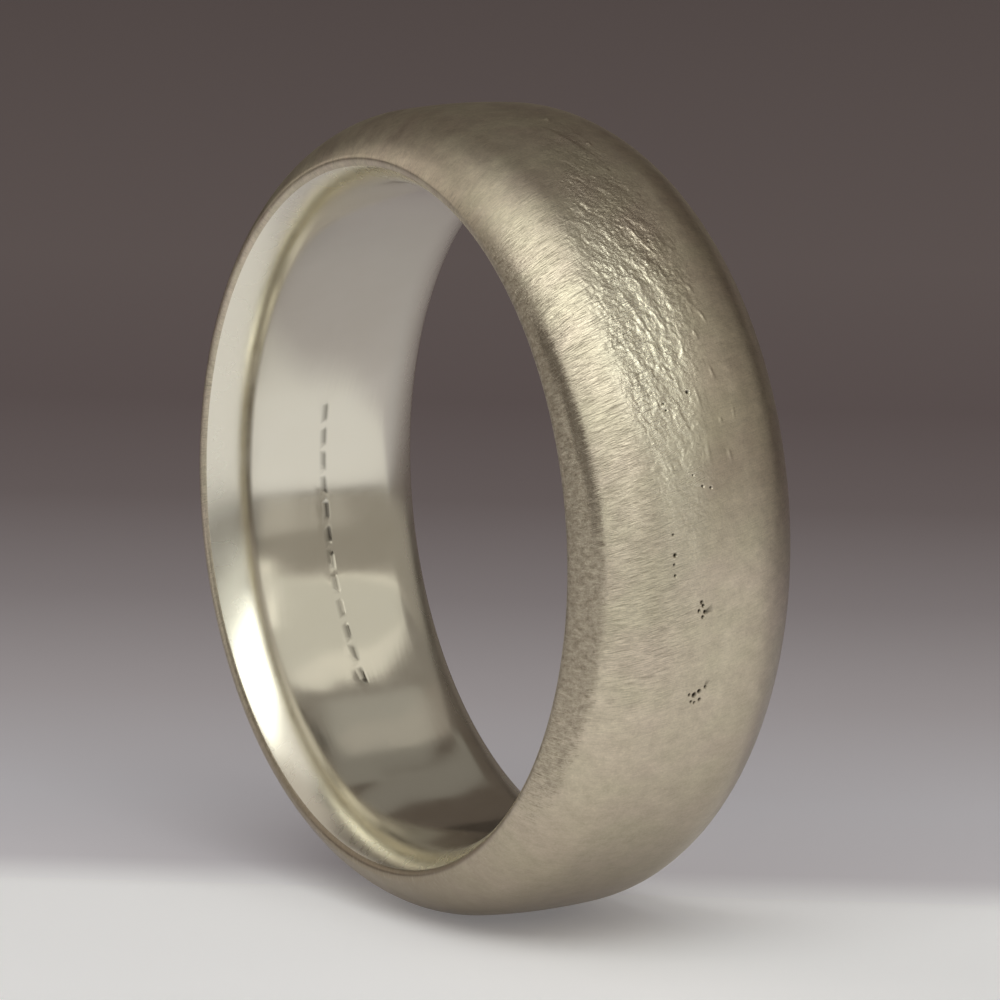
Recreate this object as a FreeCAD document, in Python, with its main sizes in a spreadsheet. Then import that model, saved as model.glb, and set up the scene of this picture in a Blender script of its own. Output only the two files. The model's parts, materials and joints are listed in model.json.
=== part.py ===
import FreeCAD, Part
import math
import os
import Sketcher

# Wedding band: a plain court-shaped ring, cast in one piece.
#
# The ring stands on its edge like a wheel. Its axis is Y, +Z is up, and the origin is
# the middle of the finger bore. Every size is in millimetres.
#
# The one solid is the cross-section turned about Y. Going round the section:
#     crest      a very shallow arc across the outside
#     shoulder   a tighter arc that rolls the outside over, on each side
#     rim        a small arc that rounds the side of the band
#     comfort    an arc that opens the bore at each side
#     easing     a shallow arc that leads from the comfort arc to the land
#     land       the straight, cylindrical middle of the bore
# Each stretch meets the next one tangentially, so the ring has no sharp edge.

# Name in the sheet, value, and what it drives.
DRIVING_SIZES = [
    ("bore_diameter", 18.4, "inside diameter on the land: UK size Q"),
    ("outer_diameter", 22.6, "diameter over the crest, with a 2.1 mm wall"),
    ("band_width", 7.0, "side to side, along the finger"),
    ("land_length", 1.6, "straight middle of the bore, along the finger"),
    ("crest_radius", 17.7, "arc across the outside"),
    ("shoulder_radius", 2.7, "arc that turns the outside over towards the side"),
    ("rim_radius", 0.25, "arc that rounds the side of the band"),
    ("rim_diameter", 19.9, "diameter through the centre of the rim arcs"),
    ("comfort_radius", 2.2, "arc that opens the bore at the side"),
    ("easing_radius", 20.0, "arc between the comfort arc and the land"),
]

START, END, CENTRE = 1, 2, 3
ORIGIN = (-1, 1)
VERTICAL_AXIS = -2


def make_sheet(document):
    """Put the driving sizes in a spreadsheet, one row each."""
    sheet = document.addObject("Spreadsheet::Sheet", "Sizes")
    for row, (name, value, meaning) in enumerate(DRIVING_SIZES, start=1):
        sheet.set(f"A{row}", name)
        sheet.set(f"B{row}", str(value))
        sheet.set(f"C{row}", meaning)
        sheet.setAlias(f"B{row}", name)
    document.recompute()
    return sheet


def joining_centre(large, large_radius, small, small_radius, radius, side):
    """Centre of the arc that leads smoothly from a large arc to a small one.

    It lies inside the large arc and holds the small one. There are two such places, and
    the side is 1 for the one to the left of the line from the large centre to the small.
    """
    to_large = large_radius - radius
    to_small = radius - small_radius
    span = small - large
    along = (to_large**2 - to_small**2 + span.Length**2) / (2 * span.Length)
    across = side * math.sqrt(to_large**2 - along**2)
    direction = span / span.Length
    left = FreeCAD.Vector(-direction.y, direction.x, 0)
    return large + direction * along + left * across


def arc(centre, radius, start, end):
    """Arc that runs anticlockwise between two angles."""
    circle = Part.Circle(centre, FreeCAD.Vector(0, 0, 1), radius)
    return Part.ArcOfCircle(circle, start, end)


def angle_from(centre, point):
    return math.atan2(point.y - centre.y, point.x - centre.x)


def section_outline(sheet):
    """The section's ten stretches, anticlockwise from the crest: x along Y, y outwards."""
    crest = FreeCAD.Vector(0, sheet.outer_diameter / 2 - sheet.crest_radius, 0)
    rim = FreeCAD.Vector(sheet.band_width / 2 - sheet.rim_radius, sheet.rim_diameter / 2, 0)
    land_end = FreeCAD.Vector(sheet.land_length / 2, sheet.bore_diameter / 2, 0)
    easing = land_end + FreeCAD.Vector(0, sheet.easing_radius, 0)
    shoulder = joining_centre(crest, sheet.crest_radius, rim, sheet.rim_radius,
                              sheet.shoulder_radius, 1)
    comfort = joining_centre(easing, sheet.easing_radius, rim, sheet.rim_radius,
                             sheet.comfort_radius, -1)

    half_turn = math.pi
    inwards = -math.pi / 2
    crest_end = angle_from(crest, shoulder)
    shoulder_end = angle_from(shoulder, rim)
    comfort_end = angle_from(comfort, rim)
    easing_end = angle_from(easing, comfort)

    def mirrored(point):
        return FreeCAD.Vector(-point.x, point.y, 0)

    return [
        arc(crest, sheet.crest_radius, crest_end, half_turn - crest_end),
        arc(mirrored(shoulder), sheet.shoulder_radius, half_turn - crest_end,
            half_turn - shoulder_end),
        arc(mirrored(rim), sheet.rim_radius, half_turn - shoulder_end,
            half_turn - comfort_end),
        arc(mirrored(comfort), sheet.comfort_radius, half_turn - comfort_end,
            half_turn - easing_end),
        arc(mirrored(easing), sheet.easing_radius, half_turn - easing_end,
            half_turn - inwards),
        Part.LineSegment(mirrored(land_end), land_end),
        arc(easing, sheet.easing_radius, inwards, easing_end),
        arc(comfort, sheet.comfort_radius, easing_end, comfort_end),
        arc(rim, sheet.rim_radius, comfort_end, shoulder_end),
        arc(shoulder, sheet.shoulder_radius, shoulder_end, crest_end),
    ]


def origin_plane(body, role):
    for feature in body.Origin.OriginFeatures:
        if feature.Role == role:
            return feature
    raise ValueError(f"{body.Name} has no {role}")


def draw_section(body, sheet):
    """Sketch the section on the body's YZ plane and tie its sizes to the sheet."""
    sketch = body.newObject("Sketcher::SketchObject", "Section")
    sketch.AttachmentSupport = [(origin_plane(body, "YZ_Plane"), "")]
    sketch.MapMode = "FlatFace"

    outline = section_outline(sheet)
    (crest, left_shoulder, left_rim, left_comfort, left_easing, land,
     right_easing, right_comfort, right_rim, right_shoulder) = sketch.addGeometry(outline, False)

    for stretch in range(len(outline)):
        following = (stretch + 1) % len(outline)
        sketch.addConstraint(
            Sketcher.Constraint("Tangent", stretch, END, following, START))

    pairs = [(left_shoulder, right_shoulder), (left_rim, right_rim),
             (left_comfort, right_comfort), (left_easing, right_easing)]
    for left, right in pairs:
        sketch.addConstraint(Sketcher.Constraint("Equal", left, right))
    sketch.addConstraint(Sketcher.Constraint("PointOnObject", crest, CENTRE, VERTICAL_AXIS))
    sketch.addConstraint(
        Sketcher.Constraint("Symmetric", left_rim, CENTRE, right_rim, CENTRE, VERTICAL_AXIS))
    sketch.addConstraint(
        Sketcher.Constraint("Symmetric", land, START, land, END, VERTICAL_AXIS))

    def bind(name, kind, places, expression):
        """Add a named size to the sketch, set by an expression on the sheet."""
        size = float(sheet.evalExpression(expression.replace("Sizes.", "")))
        number = sketch.addConstraint(Sketcher.Constraint(kind, *places, size))
        sketch.renameConstraint(number, name)
        sketch.setExpression(f"Constraints.{name}", expression)

    bind("crest_radius", "Radius", (crest,), "Sizes.crest_radius")
    bind("shoulder_radius", "Radius", (right_shoulder,), "Sizes.shoulder_radius")
    bind("rim_radius", "Radius", (right_rim,), "Sizes.rim_radius")
    bind("comfort_radius", "Radius", (right_comfort,), "Sizes.comfort_radius")
    bind("easing_radius", "Radius", (right_easing,), "Sizes.easing_radius")
    bind("crest_depth", "DistanceY", (crest, CENTRE, *ORIGIN),
         "Sizes.crest_radius - Sizes.outer_diameter / 2")
    bind("rim_height", "DistanceY", (*ORIGIN, right_rim, CENTRE), "Sizes.rim_diameter / 2")
    bind("rim_spacing", "DistanceX", (left_rim, CENTRE, right_rim, CENTRE),
         "Sizes.band_width - 2 * Sizes.rim_radius")
    bind("bore_radius", "DistanceY", (*ORIGIN, land, START), "Sizes.bore_diameter / 2")
    bind("land_length", "DistanceX", (land, START, land, END), "Sizes.land_length")
    return sketch


def make_band(document, sheet):
    """The whole ring, turned from its section about Y."""
    body = document.addObject("PartDesign::Body", "Band")
    body.Label = "band"
    body.Placement = FreeCAD.Placement()
    section = draw_section(body, sheet)
    turned = body.newObject("PartDesign::Revolution", "Turned")
    turned.Profile = section
    turned.ReferenceAxis = (section, ["H_Axis"])
    turned.Angle = 360
    section.Visibility = False
    document.recompute()
    if section.solve() != 0 or not section.FullyConstrained:
        raise RuntimeError("the section isn't fully constrained")
    return body


def check(document, parts):
    """Stop before anything is written if the document holds a failed object or shape."""
    for item in document.Objects:
        if "Invalid" in item.State or "Error" in item.State:
            raise RuntimeError(f"{item.Label} failed: {item.State}")
    for part in parts:
        if part.Shape.isNull() or not part.Shape.isValid():
            raise RuntimeError(f"{part.Label} has no valid shape")


def main():
    document = FreeCAD.newDocument("WeddingBand")
    sheet = make_sheet(document)
    parts = [make_band(document, sheet)]
    document.recompute()
    check(document, parts)
    os.makedirs("parts", exist_ok=True)
    for part in parts:
        part.Shape.exportStep(f"parts/{part.Label}.step")
        box = part.Shape.optimalBoundingBox(False)
        print(f"{part.Label}: {part.Shape.Volume:.2f} mm3,",
              f"{box.XLength:.2f} x {box.YLength:.2f} x {box.ZLength:.2f} mm")


main()
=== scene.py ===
import json
import math

import bmesh
import bpy
import numpy as np
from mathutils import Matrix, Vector, noise


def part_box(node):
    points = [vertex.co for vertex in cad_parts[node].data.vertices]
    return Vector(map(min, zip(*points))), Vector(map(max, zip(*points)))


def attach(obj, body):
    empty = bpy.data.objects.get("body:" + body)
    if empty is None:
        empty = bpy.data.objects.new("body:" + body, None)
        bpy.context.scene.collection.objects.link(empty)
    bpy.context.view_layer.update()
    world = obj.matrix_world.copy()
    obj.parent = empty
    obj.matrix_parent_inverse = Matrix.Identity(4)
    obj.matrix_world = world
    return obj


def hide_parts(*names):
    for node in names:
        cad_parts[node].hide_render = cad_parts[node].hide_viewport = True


# A sand-cast wedding band, satin outside and polished in the bore, standing on its edge.
#
# The mesh is made on a flat sheet whose coordinates are the angle round the ring and the
# distance along its section. The sheet is then wrapped onto the ring, with the relief that
# the sand left added along the surface's own normal. Lengths are in millimetres until
# the mesh is written, and angles round the ring are in degrees from the top, towards +X.

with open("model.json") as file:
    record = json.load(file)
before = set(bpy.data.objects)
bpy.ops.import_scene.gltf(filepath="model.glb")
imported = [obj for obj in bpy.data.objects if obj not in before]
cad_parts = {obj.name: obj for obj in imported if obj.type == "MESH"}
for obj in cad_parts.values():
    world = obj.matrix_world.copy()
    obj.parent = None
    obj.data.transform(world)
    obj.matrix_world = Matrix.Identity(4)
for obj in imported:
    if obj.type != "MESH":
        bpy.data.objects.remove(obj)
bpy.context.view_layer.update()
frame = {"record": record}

MM = 0.001
BOX_LOW, BOX_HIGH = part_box("band")
BORE = next(m for m in frame["record"]["mounts"] if m["name"] == "finger_bore")
OUTER_RADIUS = BOX_HIGH.z / MM
HALF_WIDTH = BOX_HIGH.y / MM
BORE_RADIUS = BORE["dims"]["r_mm"]
HALF_LAND = BORE["dims"]["length_mm"] / 2

# The arcs of the section, as the CAD model has them.
CREST_ARC = 17.7
SHOULDER_ARC = 2.7
RIM_ARC = 0.25
RIM_CENTRE_RADIUS = 9.95
COMFORT_ARC = 2.2
EASING_ARC = 20.0


# ---------------------------------------------------------------- the section

def joining_centre(large, large_arc, small, small_arc, arc, side):
    """Centre of the arc that leads smoothly from a large arc to a small one inside it."""
    span = small - large
    length = np.hypot(*span)
    to_large = large_arc - arc
    to_small = arc - small_arc
    along = (to_large**2 - to_small**2 + length**2) / (2 * length)
    across = side * math.sqrt(to_large**2 - along**2)
    left = np.array([-span[1], span[0]])
    return large + (span * along + left * across) / length


def half_section():
    """The arcs from the crest to the land: centre, radius, first and last angle.

    A centre is its place across the band and its distance from the axis. An arc's angle is
    the direction its surface faces, from straight out (0) to straight in (180 degrees),
    so the angles only ever grow along the section.
    """
    crest = np.array([0.0, OUTER_RADIUS - CREST_ARC])
    rim = np.array([HALF_WIDTH - RIM_ARC, RIM_CENTRE_RADIUS])
    easing = np.array([HALF_LAND, BORE_RADIUS + EASING_ARC])
    shoulder = joining_centre(crest, CREST_ARC, rim, RIM_ARC, SHOULDER_ARC, 1)
    comfort = joining_centre(easing, EASING_ARC, rim, RIM_ARC, COMFORT_ARC, -1)

    crest_end = math.atan2(*(shoulder - crest))
    shoulder_end = math.atan2(*(rim - shoulder))
    comfort_start = math.atan2(*(rim - comfort))
    easing_start = math.atan2(*(comfort - easing))
    return [
        (crest, CREST_ARC, 0.0, crest_end),
        (shoulder, SHOULDER_ARC, crest_end, shoulder_end),
        (rim, RIM_ARC, shoulder_end, comfort_start),
        (comfort, COMFORT_ARC, comfort_start, easing_start),
        (easing, EASING_ARC, easing_start, math.pi),
    ]


ARCS = half_section()
ARC_LENGTHS = [radius * (last - first) for _, radius, first, last in ARCS]
ARC_STARTS = np.cumsum([0.0] + ARC_LENGTHS)
HALF_LENGTH = ARC_STARTS[-1] + HALF_LAND
RIM_START = ARC_STARTS[2]
POLISH_START = ARC_STARTS[3]


def on_section(distance):
    """Place and facing at a distance along the section from the crest: y, r, facing y, facing r."""
    side = np.where(distance < 0, -1.0, 1.0)
    distance = np.abs(distance)
    y = HALF_LENGTH - distance
    r = np.full_like(distance, BORE_RADIUS)
    angle = np.full_like(distance, math.pi)
    for (centre, radius, first, _), start, end in zip(ARCS, ARC_STARTS, ARC_STARTS[1:]):
        here = (distance >= start) & (distance < end)
        turned = first + (distance[here] - start) / radius
        y[here] = centre[0] + radius * np.sin(turned)
        r[here] = centre[1] + radius * np.cos(turned)
        angle[here] = turned
    return side * y, r, side * np.sin(angle), np.cos(angle)


def wrap(angle, distance, height):
    """Points on the ring, in millimetres, for angles in degrees and heights above the surface."""
    y, r, facing_y, facing_r = on_section(distance)
    y = y + height * facing_y
    r = r + height * facing_r
    turn = np.radians(angle)
    return np.column_stack([r * np.sin(turn), y, r * np.cos(turn)])


# ---------------------------------------------------------------- the relief

# The bands of cast texture: angle, middle, half-width and strength, station by station.
FRONT_TEXTURE = np.array([
    (0.0, 0.7, 0.6, 0.0),
    (14.0, 0.4, 0.8, 0.25),
    (26.0, 0.0, 1.1, 0.55),
    (38.0, -0.25, 1.5, 0.85),
    (50.0, -0.45, 1.6, 1.0),
    (60.0, -0.75, 1.4, 1.0),
    (68.0, -0.80, 1.2, 0.85),
    (76.0, -0.70, 1.0, 0.55),
    (86.0, -0.75, 0.8, 0.25),
    (98.0, -0.80, 0.6, 0.0),
])
BACK_TEXTURE = np.array([
    (-158.0, -0.4, 0.7, 0.0),
    (-135.0, -0.1, 1.0, 0.5),
    (-105.0, 0.4, 1.3, 0.8),
    (-80.0, 0.1, 1.0, 0.4),
    (-55.0, 0.6, 0.6, 0.0),
])
GRAIN_TILT = math.radians(22)

# Single ridges: angle, distance, length, width, tilt in degrees, height.
RIDGES = [
    (11.8, 0.58, 0.24, 0.15, -28, 0.048),
    (20.8, 0.83, 0.20, 0.13, 0, 0.040),
    (19.5, 0.30, 1.60, 0.30, 14, 0.030),
    (28.0, 0.62, 0.22, 0.10, -10, 0.012),
    (34.5, 0.50, 0.20, 0.10, 15, 0.014),
    (41.0, 0.10, 0.50, 0.10, 20, 0.022),
    (44.5, 1.02, 0.16, 0.09, 10, 0.014),
    (50.8, 1.05, 0.28, 0.09, 20, 0.016),
    (55.3, 1.13, 0.26, 0.07, 18, 0.022),
    (57.8, 0.70, 0.24, 0.08, 14, 0.018),
    (63.5, 0.88, 0.26, 0.08, 10, 0.018),
    (69.3, 1.30, 0.26, 0.05, -4, 0.014),
    (70.3, 0.84, 0.14, 0.08, 0, 0.020),
    (75.0, 0.95, 0.24, 0.08, 8, 0.022),
    (67.0, 0.25, 0.40, 0.09, 6, 0.016),
    (74.5, 0.28, 0.50, 0.10, 4, 0.016),
    (55.8, -0.80, 1.35, 0.10, 17, 0.024),
    (60.5, -1.35, 0.90, 0.09, 24, 0.018),
    (64.5, -0.30, 0.80, 0.10, 12, 0.016),
    (67.5, -1.05, 0.60, 0.09, -30, 0.016),
]

# Casting pits: angle, distance, radius.
PITS = [
    (66.0, -0.03, 0.060),
    (79.2, 0.22, 0.045),
    (78.9, -0.03, 0.045),
    (77.3, -0.30, 0.030),
    (68.2, -0.80, 0.030),
    (67.3, -0.84, 0.030),
    (87.8, -1.00, 0.060),
    (89.1, -1.03, 0.040),
    (90.6, -1.00, 0.045),
    (85.0, -1.05, 0.035),
    (42.8, 0.45, 0.050),
    (94.6, -0.15, 0.055),
    (95.1, -0.10, 0.050),
    (95.8, -0.22, 0.050),
    (96.0, -0.03, 0.060),
    (96.7, -0.09, 0.050),
    (108.0, -0.20, 0.045),
    (108.1, -0.04, 0.080),
    (107.6, 0.10, 0.070),
    (107.0, 0.27, 0.050),
    (109.1, -0.10, 0.045),
    (109.3, 0.01, 0.045),
    (108.9, 0.16, 0.055),
]
PIT_DEPTH = 0.05

# The strip that the brush missed beside the near rim: angle, start and strength, station by
# station. The start is a distance from the crest, towards that rim.
EDGE_STRIP = np.array([
    (10.0, 3.70, 0.0),
    (35.0, 3.60, 0.5),
    (50.0, 3.45, 1.0),
    (60.0, 3.30, 1.0),
    (70.0, 3.15, 1.0),
    (80.0, 3.00, 1.0),
    (90.0, 2.95, 0.9),
    (105.0, 2.95, 0.8),
    (125.0, 3.10, 0.6),
    (145.0, 3.30, 0.0),
])

# A row of plain dashes in the polished bore stands in for the maker's small marks.
DASHES = np.arange(-130.0, -76.0, 4.5)
DASH_DISTANCE = HALF_LENGTH - 0.15
DASH_DEPTH = 0.025


def smooth_step(value, start, end):
    """0 before the start, 1 past the end, and a smooth rise between them."""
    t = np.clip((value - start) / (end - start), 0.0, 1.0)
    return t * t * (3 - 2 * t)


def fractal(x, y, seed, octaves=1):
    """Soft noise, about -1 to 1, at points given in units of its own grain size."""
    result = np.zeros_like(x)
    for octave in range(octaves):
        scale = 2.0**octave
        points = np.column_stack([x * scale, y * scale, np.full_like(x, seed + 7.3 * octave)])
        result += np.array([noise.noise(p) for p in points]) / scale
    return result


def bumps(x, y, seed, octaves=1):
    """Noise folded at zero, so its floor is a net of narrow creases, 0 to about 1."""
    result = np.zeros_like(x)
    for octave in range(octaves):
        scale = 2.0**octave
        points = np.column_stack([x * scale, y * scale, np.full_like(x, seed + 3.1 * octave)])
        values = np.array([noise.noise(p) for p in points])
        result += np.sqrt(values**2 + 0.004) / scale
    return result


def texture_strength(angle, distance, path):
    """How strongly the cast texture shows, 0 to 1, along a path of given stations."""
    middle = np.interp(angle, path[:, 0], path[:, 1])
    half_width = np.interp(angle, path[:, 0], path[:, 2])
    strength = np.interp(angle, path[:, 0], path[:, 3])
    off = np.abs(distance - middle) / half_width
    return strength * (1 - smooth_step(off, 0.35, 1.35))


def cast_texture(angle, distance, path):
    """Height left by the sand: folds along the grain, crinkled and covered in fine grains."""
    height = np.zeros_like(angle)
    strength = texture_strength(angle, distance, path)
    near = strength > 0
    strength = strength[near]
    around = np.radians(angle[near]) * OUTER_RADIUS
    a = around * math.cos(GRAIN_TILT) + distance[near] * math.sin(GRAIN_TILT)
    b = distance[near] * math.cos(GRAIN_TILT) - around * math.sin(GRAIN_TILT)
    a += 0.12 * fractal(a / 0.30, b / 0.30, 2.4, 2)
    b += 0.12 * fractal(a / 0.30, b / 0.30, 9.4, 2)
    folds = fractal(a / 0.75, b / 0.32, 1.7, 2)
    creases = bumps(a / 0.24, b / 0.17, 4.1, 2)
    grains = fractal(a / 0.10, b / 0.085, 8.8, 2)
    patchy = 0.85 + 0.7 * fractal(a / 0.6, b / 0.5, 12.1)
    fine = 0.016 * (0.5 - creases) + 0.023 * grains
    height[near] = strength * (0.028 * folds + patchy * fine)
    return height


def ridge_heights(angle, distance):
    """The single ridges, each a soft oval mound."""
    height = np.zeros_like(angle)
    for place, middle, length, width, tilt, top in RIDGES:
        around = np.radians(angle - place) * OUTER_RADIUS
        off = distance - middle
        turn = math.radians(tilt)
        along = (around * math.cos(turn) + off * math.sin(turn)) / (length / 2)
        across = (off * math.cos(turn) - around * math.sin(turn)) / (width / 2)
        height += top * np.exp(-(along**2 + across**2))
    return height


def pit_shade(angle, distance):
    """How deep a point lies in a casting pit, from 0 outside to 1 at its bottom."""
    shade = np.zeros_like(angle)
    for place, middle, radius in PITS:
        around = np.radians(angle - place) * OUTER_RADIUS
        off = np.hypot(around, distance - middle) / radius
        shade = np.maximum(shade, 1 - smooth_step(off, 0.35, 1.25))
    return shade


def dash_shade(angle, distance):
    """How deep a point lies in one of the engraved dashes, 0 to 1."""
    shade = np.zeros_like(angle)
    across = 1 - smooth_step(np.abs(distance - DASH_DISTANCE), 0.0, 0.13)
    for place in DASHES:
        along = np.abs(np.radians(angle - place) * BORE_RADIUS)
        shade = np.maximum(shade, across * (1 - smooth_step(along, 0.16, 0.32)))
    return shade


def edge_wear(angle, distance):
    """Where the brush didn't reach, 0 to 1: the strip at the front, and faintly both rims."""
    start = np.interp(angle, EDGE_STRIP[:, 0], EDGE_STRIP[:, 1])
    strength = np.interp(angle, EDGE_STRIP[:, 0], EDGE_STRIP[:, 2])
    strip = smooth_step(-distance - start, -0.25, 0.25) * strength
    return np.maximum(strip, 0.25 * smooth_step(np.abs(distance), 3.2, 3.7))


def painted_shade_line_strength(angle, distance):
    """Painted shade: a dark line where the brushed face ends and the strip begins, 0 to 1."""
    start = np.interp(angle, EDGE_STRIP[:, 0], EDGE_STRIP[:, 1])
    along = smooth_step(angle, 42, 58) * (1 - smooth_step(angle, 72, 100))
    return along * (1 - smooth_step(np.abs(-distance - start - 0.18), 0.05, 0.32))


def brush_strength(angle, distance):
    """How hard the brush bit, 0 to 1: most along the near shoulder at the front, less behind."""
    around = smooth_step(angle, 15, 55) * (1 - smooth_step(angle, 92, 120))
    across = 1 - 0.9 * smooth_step(distance, -1.6, 0.3)
    behind = smooth_step(-angle, 40, 75) * (1 - smooth_step(-angle, 125, 165))
    return 0.12 + 0.88 * around * across + 0.45 * behind


def painted_shade_strength(angle, distance):
    """Painted shade: darker metal towards the foot of the ring, where it stands, and low on its far
    flank, 0 to 1.
    """
    foot = 0.6 * smooth_step(np.abs(angle) + 2 * distance, 100, 152)
    under = 0.25 * smooth_step(np.abs(angle), 148, 172)
    flank = 0.2 * smooth_step(distance, 0.6, 2.0) * smooth_step(angle, 82, 100)
    return foot + under + flank * (1 - smooth_step(angle, 118, 135))


def relief(angle, distance):
    """Height above the smooth ring, with a faint unevenness from filing all over the outside."""
    turn = np.radians(angle)
    outside = 1 - smooth_step(np.abs(distance), RIM_START - 1.2, RIM_START - 0.1)
    height = 0.006 * fractal(4.2 * np.sin(turn), 4.2 * np.cos(turn) + distance / 1.7, 3.1) * outside
    height += cast_texture(angle, distance, FRONT_TEXTURE)
    height += 0.8 * cast_texture(angle, distance, BACK_TEXTURE)
    height += ridge_heights(angle, distance)
    height -= PIT_DEPTH * pit_shade(angle, distance)
    height -= DASH_DEPTH * dash_shade(angle, distance)
    return height


# ---------------------------------------------------------------- the mesh

# The sheet's spacing before it is refined: degrees round the ring, and millimetres on each arc.
ANGLE_STEP = 1.2
ARC_STEPS = [0.23, 0.20, 0.045, 0.13, 0.25]
LAND_ROWS = 5


def section_rows():
    """Distances along the whole section, from the middle of the land round to itself."""
    half = []
    for start, length, step in zip(ARC_STARTS, ARC_LENGTHS, ARC_STEPS):
        rows = max(2, round(length / step))
        half.append(np.linspace(start, start + length, rows, endpoint=False))
    half.append(np.linspace(ARC_STARTS[-1], HALF_LENGTH, LAND_ROWS))
    half = np.concatenate(half)
    return np.concatenate([-half[:0:-1], half[:-1]])


def sheet_mesh():
    """The flat sheet: angle in x and distance in y, closed on itself both ways."""
    angles = np.arange(-180.0, 180.0, ANGLE_STEP)
    rows = section_rows()
    mesh = bmesh.new()
    grid = [[mesh.verts.new((a, s, 0.0)) for s in rows] for a in angles]
    for i in range(len(angles)):
        for j in range(len(rows)):
            ahead, beside = (i + 1) % len(angles), (j + 1) % len(rows)
            mesh.faces.new((grid[i][j], grid[ahead][j], grid[ahead][beside], grid[i][beside]))
    return mesh


def refine(mesh, wanted, cuts):
    """Divide the faces whose corners all lie where the test of angle and distance holds.

    The faces that close the sheet on itself reach right across it, and are left alone.
    """
    widest = 5
    edges = {}
    for face in mesh.faces:
        corners = np.array([vert.co[:2] for vert in face.verts])
        if np.ptp(corners[:, 0]) < widest and np.ptp(corners[:, 1]) < widest:
            if wanted(corners[:, 0], corners[:, 1]).all():
                edges.update(dict.fromkeys(face.edges))
    bmesh.ops.subdivide_edges(mesh, edges=list(edges), cuts=cuts, use_grid_fill=True)


def in_front_texture(angle, distance):
    """The cast texture at the front, the ridges beside and above it, and the lowest pits."""
    middle = np.interp(angle, FRONT_TEXTURE[:, 0], FRONT_TEXTURE[:, 1])
    half_width = np.interp(angle, FRONT_TEXTURE[:, 0], FRONT_TEXTURE[:, 2])
    inside = np.abs(distance - middle) < 1.35 * half_width + 0.15
    hollow = (angle > 38) & (angle < 80) & (distance > 0) & (distance < 1.6)
    top = (angle > 8) & (angle < 26) & (distance > 0) & (distance < 1.1)
    foot = (angle > 106) & (angle < 111) & (np.abs(distance) < 0.5)
    return foot | ((angle > 2) & (angle < 98) & (inside | hollow | top))


def in_back_texture(angle, distance):
    middle = np.interp(angle, BACK_TEXTURE[:, 0], BACK_TEXTURE[:, 1])
    half_width = np.interp(angle, BACK_TEXTURE[:, 0], BACK_TEXTURE[:, 2])
    return (angle > -158) & (angle < -55) & (np.abs(distance - middle) < 1.2 * half_width + 0.2)


def beside_pits(angle, distance):
    near = np.zeros(len(angle), bool)
    for place, middle, radius in PITS:
        around = np.radians(angle - place) * OUTER_RADIUS
        near |= np.hypot(around, distance - middle) < radius + 0.06
    return near


def near_dashes(angle, distance):
    beside = np.abs(distance - DASH_DISTANCE) < 0.36
    return beside & (angle > DASHES[0] - 3) & (angle < DASHES[-1] + 3)


def finishes(angle, distance):
    """What the materials need to know at each point, each from 0 to 1."""
    sandiness = np.maximum(texture_strength(angle, distance, FRONT_TEXTURE),
                           texture_strength(angle, distance, BACK_TEXTURE))
    return {
        # darker in the casting pits and the engraved dashes
        "pit_and_dash_darkness": np.maximum(pit_shade(angle, distance), dash_shade(angle, distance)),
        "sandiness": sandiness,
        # painted highlight: the cast texture lightened where the key lamp's highlight falls on it
        "painted_sparkle": sandiness * smooth_step(angle - 12 * distance, 35, 62),
        "edge": edge_wear(angle, distance),
        # painted shade along the inner edge of the strip
        "painted_shade_line": painted_shade_line_strength(angle, distance),
        "brushing": brush_strength(angle, distance),
        # painted shade towards the foot of the ring and low on its far flank
        "painted_shade": painted_shade_strength(angle, distance),
        "dull": 1 - smooth_step(np.abs(distance), POLISH_START + 0.4, POLISH_START + 1.8),
    }


def make_band():
    """One closed casting, with a map that gives each point its place on the flat sheet."""
    sheet = sheet_mesh()
    refine(sheet, in_front_texture, 6)
    refine(sheet, beside_pits, 1)
    refine(sheet, in_back_texture, 2)
    refine(sheet, near_dashes, 3)
    flat = np.array([v.co[:2] for v in sheet.verts])
    angle, distance = flat[:, 0], flat[:, 1]
    places = wrap(angle, distance, relief(angle, distance)) * MM

    layer = sheet.loops.layers.uv.new("sheet")
    for face in sheet.faces:
        corners = [loop.vert.co.copy() for loop in face.loops]
        first = corners[0]
        for loop, corner in zip(face.loops, corners):
            turns = round((first.x - corner.x) / 360)
            laps = round((first.y - corner.y) / (2 * HALF_LENGTH))
            around = math.radians(corner.x + 360 * turns) * OUTER_RADIUS
            loop[layer].uv = (around, corner.y + 2 * HALF_LENGTH * laps)
        middle = sum(abs(c.y) for c in corners) / len(corners)
        face.material_index = 0 if middle < POLISH_START else 1
        face.smooth = True
    for vert, place in zip(sheet.verts, places):
        vert.co = place
    bmesh.ops.recalc_face_normals(sheet, faces=sheet.faces)
    data = bpy.data.meshes.new("cast_band")
    sheet.to_mesh(data)
    sheet.free()
    for name, values in finishes(angle, distance).items():
        data.attributes.new(name, "FLOAT", "POINT").data.foreach_set("value", values)
    band = bpy.data.objects.new("cast_band", data)
    bpy.context.scene.collection.objects.link(band)
    return band


# ---------------------------------------------------------------- materials

DARK_METAL = (0.035, 0.028, 0.02, 1)
ENGRAVED_METAL = (0.10, 0.085, 0.065, 1)
# Painted shade: the colour that darkens the foot and the far flank.
PAINTED_SHADE_METAL = (0.26, 0.21, 0.15, 1)
# Painted highlight: the near-white colour of the sparkle on the cast texture.
PAINTED_SPARKLE_METAL = (0.93, 0.875, 0.70, 1)
SCRATCHED_METAL = (0.20, 0.17, 0.12, 1)
# Painted shade: the colour of the dark line along the strip.
SHADE_LINE_METAL = (0.12, 0.095, 0.07, 1)


def new_material(name):
    """A new material, its nodes and links, and its shader."""
    material = bpy.data.materials.new(name)
    material.use_nodes = True
    nodes = material.node_tree.nodes
    return material, nodes, material.node_tree.links, nodes["Principled BSDF"]


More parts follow.
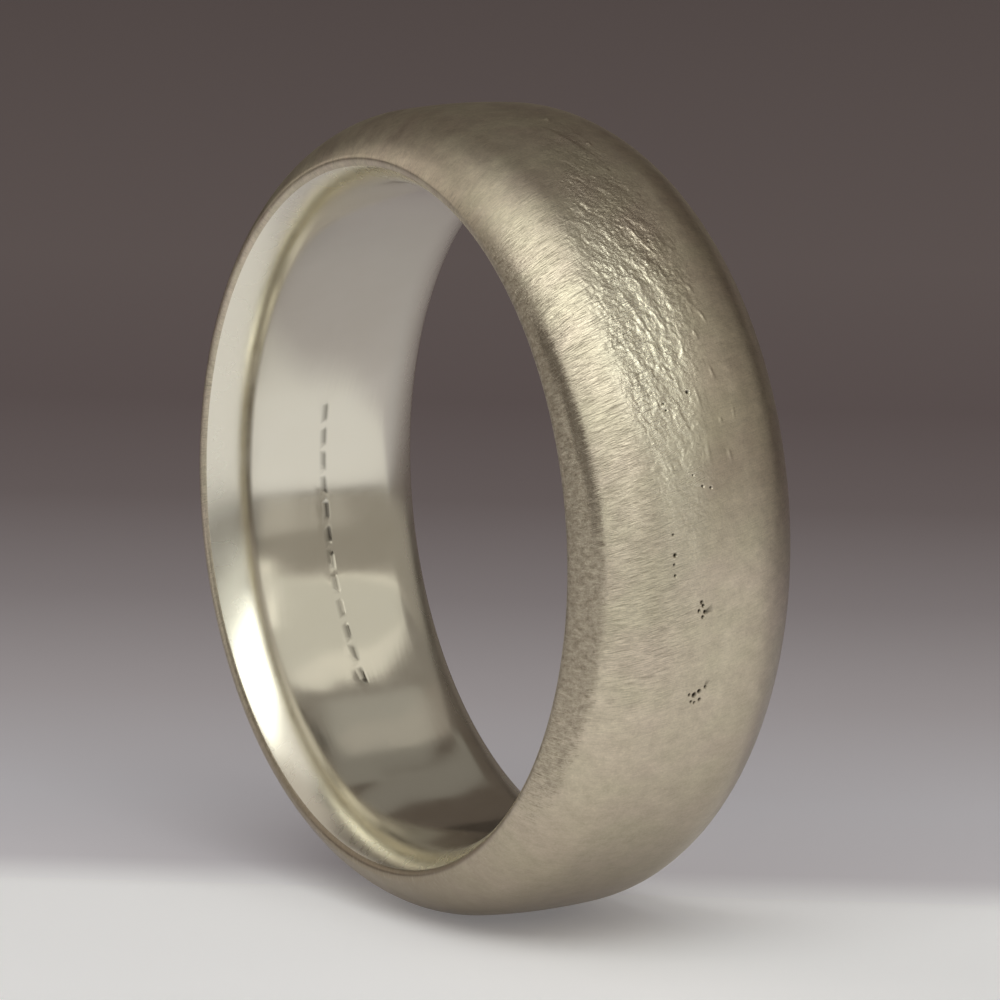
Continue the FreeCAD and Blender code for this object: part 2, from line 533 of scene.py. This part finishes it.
def sheet_place(nodes):
    """A point's place on the flat sheet, in millimetres."""
    place = nodes.new("ShaderNodeUVMap")
    place.uv_map = "sheet"
    return place.outputs["UV"]


def add_bump(nodes, links, shader, height, depth):
    """Fine relief too small for the mesh, with its depth in millimetres."""
    bump = nodes.new("ShaderNodeBump")
    bump.inputs["Strength"].default_value = 1.0
    bump.inputs["Distance"].default_value = depth * MM
    links.new(height, bump.inputs["Height"])
    links.new(bump.outputs["Normal"], shader.inputs["Normal"])


def maths(nodes, links, operation, first, second):
    """A math node whose inputs are numbers or other nodes' outputs."""
    node = nodes.new("ShaderNodeMath")
    node.operation = operation
    for socket, value in zip(node.inputs, (first, second)):
        if isinstance(value, (int, float)):
            socket.default_value = value
        else:
            links.new(value, socket)
    return node.outputs[0]


def stretched_noise(nodes, links, place, tilt, across, along, detail, roughness=0.6):
    """Noise drawn out into strokes, at an angle in degrees from straight across the band."""
    turned = nodes.new("ShaderNodeMapping")
    turned.vector_type = "POINT"
    turned.inputs["Rotation"].default_value = (0, 0, math.radians(-tilt))
    links.new(place, turned.inputs["Vector"])
    stretched = nodes.new("ShaderNodeVectorMath")
    stretched.operation = "MULTIPLY"
    stretched.inputs[1].default_value = (1 / across, 1 / along, 0)
    links.new(turned.outputs["Vector"], stretched.inputs[0])
    strokes = nodes.new("ShaderNodeTexNoise")
    strokes.inputs["Scale"].default_value = 1.0
    strokes.inputs["Detail"].default_value = detail
    strokes.inputs["Roughness"].default_value = roughness
    links.new(stretched.outputs["Vector"], strokes.inputs["Vector"])
    return strokes.outputs["Fac"]


def remap(nodes, links, value, low, high, to_low, to_high):
    """A value taken in a straight line from one range to another, and kept inside it."""
    node = nodes.new("ShaderNodeMapRange")
    node.inputs["From Min"].default_value = low
    node.inputs["From Max"].default_value = high
    node.inputs["To Min"].default_value = to_low
    node.inputs["To Max"].default_value = to_high
    links.new(value, node.inputs["Value"])
    return node.outputs["Result"]


def blend(nodes, links, factor, first, second):
    """A colour between two colours."""
    node = nodes.new("ShaderNodeMix")
    node.data_type = "RGBA"
    links.new(factor, node.inputs["Factor"])
    for name, colour in (("A", first), ("B", second)):
        socket = next(s for s in node.inputs if s.name == name and s.type == "RGBA")
        if isinstance(colour, tuple):
            socket.default_value = colour
        else:
            links.new(colour, socket)
    return next(s for s in node.outputs if s.type == "RGBA")


def multiply(nodes, links, first, second):
    """One colour times another."""
    node = nodes.new("ShaderNodeVectorMath")
    node.operation = "MULTIPLY"
    links.new(first, node.inputs[0])
    links.new(second, node.inputs[1])
    return node.outputs["Vector"]


def painted(nodes, name):
    """A value that the mesh holds at each point."""
    attribute = nodes.new("ShaderNodeAttribute")
    attribute.attribute_name = name
    return attribute.outputs["Fac"]


def total(nodes, links, base, *shares):
    """A base plus shares: each is a value that varies about 0.5, and how strongly it counts."""
    result = base
    for value, gain in shares:
        centred = maths(nodes, links, "SUBTRACT", value, 0.5)
        share = maths(nodes, links, "MULTIPLY", centred, gain)
        result = maths(nodes, links, "ADD", share, result)
    return result


def satin_gold():
    """White gold brushed across the band by hand, over the grainy skin that the sand left."""
    material, nodes, links, shader = new_material("satin_gold")
    place = sheet_place(nodes)
    fine = stretched_noise(nodes, links, place, 13, 0.024, 0.50, 2, 0.7)
    slanted = stretched_noise(nodes, links, place, 17, 0.030, 1.10, 2)
    level = stretched_noise(nodes, links, place, 4, 0.034, 0.70, 2)
    grit = stretched_noise(nodes, links, place, 0, 0.060, 0.065, 3, 0.7)
    blots = stretched_noise(nodes, links, place, 0, 0.16, 0.22, 4, 0.75)
    mottle = stretched_noise(nodes, links, place, 0, 0.45, 0.60, 3)
    broad = stretched_noise(nodes, links, place, 12, 1.6, 2.4, 2)
    brushing, edge, sand = (painted(nodes, name) for name in ("brushing", "edge", "sandiness"))

    scratches = maths(nodes, links, "MAXIMUM", remap(nodes, links, slanted, 0.58, 0.66, 0.0, 1.0),
                      remap(nodes, links, level, 0.60, 0.67, 0.0, 0.8))
    scratches = maths(nodes, links, "MULTIPLY", scratches, brushing)
    unbrushed = remap(nodes, links, total(nodes, links, edge, (fine, 2.2)), 0.35, 0.65, 0.0, 1.0)
    speckle = total(nodes, links, 0.5, (blots, 2.2), (grit, 0.8), (fine, 0.5))
    stroke_gain = maths(nodes, links, "MULTIPLY", brushing, 4.8)
    grit_shade = remap(nodes, links, sand, 0.0, 1.0, 0.9, 4.2)
    shade = total(nodes, links, 0.5, (fine, stroke_gain), (grit, grit_shade), (blots, 0.9),
                  (mottle, 1.1))

    colour = blend(nodes, links, shade, (0.49, 0.435, 0.34, 1), (0.78, 0.705, 0.56, 1))
    patches = remap(nodes, links, broad, 0.35, 0.65, 0.0, 1.0)
    tint = blend(nodes, links, patches, (1.02, 0.985, 0.99, 1), (0.995, 1.0, 0.96, 1))
    colour = multiply(nodes, links, colour, tint)
    # Painted shade: darker towards the foot of the ring and low on its far flank.
    colour = blend(nodes, links, painted(nodes, "painted_shade"), colour, PAINTED_SHADE_METAL)
    # Painted highlight: the cast texture lightened where the key lamp's highlight falls on it.
    colour = blend(nodes, links, painted(nodes, "painted_sparkle"), colour, PAINTED_SPARKLE_METAL)
    scratched = maths(nodes, links, "MULTIPLY", scratches, 0.55)
    colour = blend(nodes, links, scratched, colour, SCRATCHED_METAL)
    strip = blend(nodes, links, speckle, (0.22, 0.18, 0.13, 1), (0.58, 0.51, 0.40, 1))
    # Painted shade: a dark line along the inner edge of the strip.
    line = total(nodes, links, painted(nodes, "painted_shade_line"), (fine, 1.6), (grit, 0.8))
    line = remap(nodes, links, line, 0.3, 0.9, 0.0, 0.75)
    strip = blend(nodes, links, line, strip, SHADE_LINE_METAL)
    colour = blend(nodes, links, unbrushed, colour, strip)
    # Darker in the casting pits and the dashes.
    colour = blend(nodes, links, painted(nodes, "pit_and_dash_darkness"), colour, DARK_METAL)
    links.new(colour, shader.inputs["Base Color"])

    rough = total(nodes, links, remap(nodes, links, broad, 0.3, 0.7, 0.30, 0.36), (slanted, 0.1))
    smoother = maths(nodes, links, "MULTIPLY", sand, 0.10)
    rough = maths(nodes, links, "SUBTRACT", rough, smoother)
    links.new(rough, shader.inputs["Roughness"])
    shader.inputs["Metallic"].default_value = 1.0
    shader.inputs["Anisotropic"].default_value = 0.65
    tangent = nodes.new("ShaderNodeTangent")
    tangent.direction_type = "UV_MAP"
    tangent.uv_map = "sheet"
    links.new(tangent.outputs["Tangent"], shader.inputs["Tangent"])

    rawness = maths(nodes, links, "MAXIMUM", sand, unbrushed)
    grit_gain = remap(nodes, links, rawness, 0.0, 1.0, 0.6, 3.2)
    stroke_depth = maths(nodes, links, "MULTIPLY", brushing, 2.2)
    height = total(nodes, links, 0.0, (fine, stroke_depth), (grit, grit_gain), (blots, 0.6),
                   (scratches, -0.8))
    add_bump(nodes, links, shader, height, 0.006)
    return material


def polished_gold():
    """White gold polished in the bore, and duller towards the rim."""
    material, nodes, links, shader = new_material("polished_gold")
    place = sheet_place(nodes)
    lines = stretched_noise(nodes, links, place, 84, 0.12, 3.0, 2)
    haze = stretched_noise(nodes, links, place, 30, 1.2, 2.2, 3)
    colour = blend(nodes, links, haze, (0.84, 0.80, 0.68, 1), (0.89, 0.855, 0.745, 1))
    # Darker in the engraved dashes and the pits.
    colour = blend(nodes, links, painted(nodes, "pit_and_dash_darkness"), colour, ENGRAVED_METAL)
    links.new(colour, shader.inputs["Base Color"])
    duller = maths(nodes, links, "MULTIPLY", painted(nodes, "dull"), 0.14)
    rough = remap(nodes, links, haze, 0.3, 0.7, 0.11, 0.16)
    links.new(maths(nodes, links, "ADD", rough, duller), shader.inputs["Roughness"])
    shader.inputs["Metallic"].default_value = 1.0
    add_bump(nodes, links, shader, lines, 0.0006)
    return material


# ---------------------------------------------------------------- the studio

# The photograph's view: azimuth from -Y towards +X, elevation, distance and lens.
VIEW_AZIMUTH = math.radians(58.457)
VIEW_ELEVATION = math.radians(9.5125)
VIEW_DISTANCE = 16.7115 * OUTER_RADIUS * MM
LENS = 243.85
AIM_RIGHT = 0.43 * MM
AIM_UP = 0.226 * MM

# The floor's colour against the distance behind the ring's axis, in millimetres: pale near the
# ring, a step to grey a few millimetres behind it, then a grey that darkens with distance, a
# painted falloff of light.
FLOOR_TONES_WITH_PAINTED_FALLOFF = [
    (-60, (0.93, 0.925, 0.955)),
    (0.9, (0.93, 0.925, 0.955)),
    (4.6, (0.62, 0.595, 0.64)),
    (14, (0.565, 0.55, 0.595)),
    (30, (0.42, 0.39, 0.415)),
    (48, (0.28, 0.25, 0.265)),
    (69, (0.18, 0.15, 0.155)),
    (94, (0.145, 0.115, 0.118)),
    (140, (0.17, 0.138, 0.138)),
]
NEAR_SIDE, FAR_SIDE = -60, 140
EDGE_SLANT = 0.135


def direction(azimuth, elevation):
    """A unit vector out from the ring, by azimuth from -Y towards +X and elevation, in radians."""
    flat = math.cos(elevation)
    return Vector((math.sin(azimuth) * flat, -math.cos(azimuth) * flat, math.sin(elevation)))


def add_camera():
    towards = direction(VIEW_AZIMUTH, VIEW_ELEVATION)
    right = Vector((math.cos(VIEW_AZIMUTH), math.sin(VIEW_AZIMUTH), 0))
    up = towards.cross(right)
    place = towards * VIEW_DISTANCE
    aim = right * AIM_RIGHT + up * AIM_UP
    camera = bpy.data.objects.new("camera", bpy.data.cameras.new("camera"))
    camera.data.lens = LENS
    camera.data.clip_start = 0.01
    camera.location = place
    camera.rotation_euler = (aim - place).to_track_quat("-Z", "Y").to_euler()
    bpy.context.scene.collection.objects.link(camera)
    bpy.context.scene.camera = camera


def add_softbox(name, azimuth, elevation, distance, across, high, radiance, colour):
    """A rectangular lamp that faces the ring, given by the angles that it fills in degrees."""
    width = 2 * distance * math.tan(math.radians(across / 2))
    height = 2 * distance * math.tan(math.radians(high / 2))
    lamp = bpy.data.lights.new(name, "AREA")
    lamp.shape = "RECTANGLE"
    lamp.size, lamp.size_y = width, height
    lamp.energy = radiance * math.pi * width * height
    lamp.color = colour
    box = bpy.data.objects.new(name, lamp)
    box.location = direction(math.radians(azimuth), math.radians(elevation)) * distance
    box.rotation_euler = (-box.location).to_track_quat("-Z", "Y").to_euler()
    box.visible_camera = False
    bpy.context.scene.collection.objects.link(box)


def floor_material():
    """Pale paper that falls away to grey behind the ring, a painted falloff of light, and glows
    faintly in its own colour, a painted light.
    """
    material, nodes, links, shader = new_material("pale_floor")
    place = nodes.new("ShaderNodeTexCoord")
    behind = nodes.new("ShaderNodeVectorMath")
    behind.operation = "DOT_PRODUCT"
    away = Vector((-math.sin(VIEW_AZIMUTH), math.cos(VIEW_AZIMUTH), 0))
    sideways = Vector((math.cos(VIEW_AZIMUTH), math.sin(VIEW_AZIMUTH), 0))
    behind.inputs[1].default_value = (away + sideways * EDGE_SLANT) / MM
    links.new(place.outputs["Object"], behind.inputs[0])
    along = remap(nodes, links, behind.outputs["Value"], NEAR_SIDE, FAR_SIDE, 0.0, 1.0)
    ramp = nodes.new("ShaderNodeValToRGB")
    stops = ramp.color_ramp.elements
    while len(stops) < len(FLOOR_TONES_WITH_PAINTED_FALLOFF):
        stops.new(0.5)
    for stop, (distance, tone) in zip(stops, FLOOR_TONES_WITH_PAINTED_FALLOFF):
        stop.position = (distance - NEAR_SIDE) / (FAR_SIDE - NEAR_SIDE)
        stop.color = (*tone, 1)
    links.new(along, ramp.inputs["Fac"])
    links.new(ramp.outputs["Color"], shader.inputs["Base Color"])
    # Painted light: the floor glows faintly in its own colour, which lifts it and lightens the
    # shadows on it.
    links.new(ramp.outputs["Color"], shader.inputs["Emission Color"])
    shader.inputs["Emission Strength"].default_value = 0.14
    shader.inputs["Roughness"].default_value = 0.7
    shader.inputs["Specular IOR Level"].default_value = 0.2
    return material


def add_floor():
    data = bpy.data.meshes.new("floor")
    half = 3.0
    z = BOX_LOW.z
    data.from_pydata([(-half, -half, z), (half, -half, z), (half, half, z), (-half, half, z)],
                     [], [(0, 1, 2, 3)])
    floor = bpy.data.objects.new("floor", data)
    bpy.context.scene.collection.objects.link(floor)
    data.materials.append(floor_material())


def add_world():
    world = bpy.data.worlds.new("studio")
    world.use_nodes = True
    world.node_tree.nodes["Background"].inputs["Color"].default_value = (0.042, 0.034, 0.028, 1)
    bpy.context.scene.world = world


def add_lamps():
    """A large soft key over the camera's shoulder, weaker fills, and faint lamps for the bore."""
    add_softbox("key", 54, 52, 0.40, 60, 32, 2.45, (0.97, 1.0, 0.95))
    add_softbox("overhead", 60, 82, 0.50, 40, 30, 0.72, (1.0, 0.97, 0.93))
    add_softbox("lower_key", 52, 25, 0.60, 70, 13, 0.68, (0.99, 1.0, 0.94))
    add_softbox("low_fill", 68, 8, 0.60, 104, 18, 0.17, (1.0, 0.98, 0.93))
    add_softbox("right_panel", 103, 31, 0.50, 24, 22, 0.68, (1.0, 0.98, 0.89))
    add_softbox("right_wall", 146, 14, 0.70, 68, 28, 0.24, (1.0, 0.94, 0.83))
    add_softbox("right_high", 129, 42, 0.70, 24, 34, 0.52, (1.0, 0.98, 0.89))
    add_softbox("far_high", 164, 46, 0.70, 36, 40, 0.17, (1.0, 0.94, 0.85))
    add_softbox("left_fill", -50, 23, 0.60, 40, 36, 0.70, (1.0, 0.93, 0.86))
    add_softbox("left_high", -25, 56, 0.60, 44, 28, 0.44, (1.0, 0.93, 0.86))
    add_softbox("back_wall", -130, 46, 0.70, 76, 50, 0.05, (1.0, 0.82, 0.70))
    add_softbox("back_high", -170, 60, 0.65, 34, 10, 0.13, (0.96, 1.0, 0.94))
    add_softbox("back_middle", -140, 46, 0.65, 34, 12, 0.11, (0.96, 1.0, 0.94))
    add_softbox("back_low", -143, 7, 0.70, 40, 14, 0.10, (1.0, 0.86, 0.76))


band = make_band()
band.data.materials.append(satin_gold())
band.data.materials.append(polished_gold())
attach(band, "root")
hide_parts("band")

add_camera()
add_floor()
add_world()
add_lamps()
bpy.context.scene.view_settings.view_transform = "Standard"
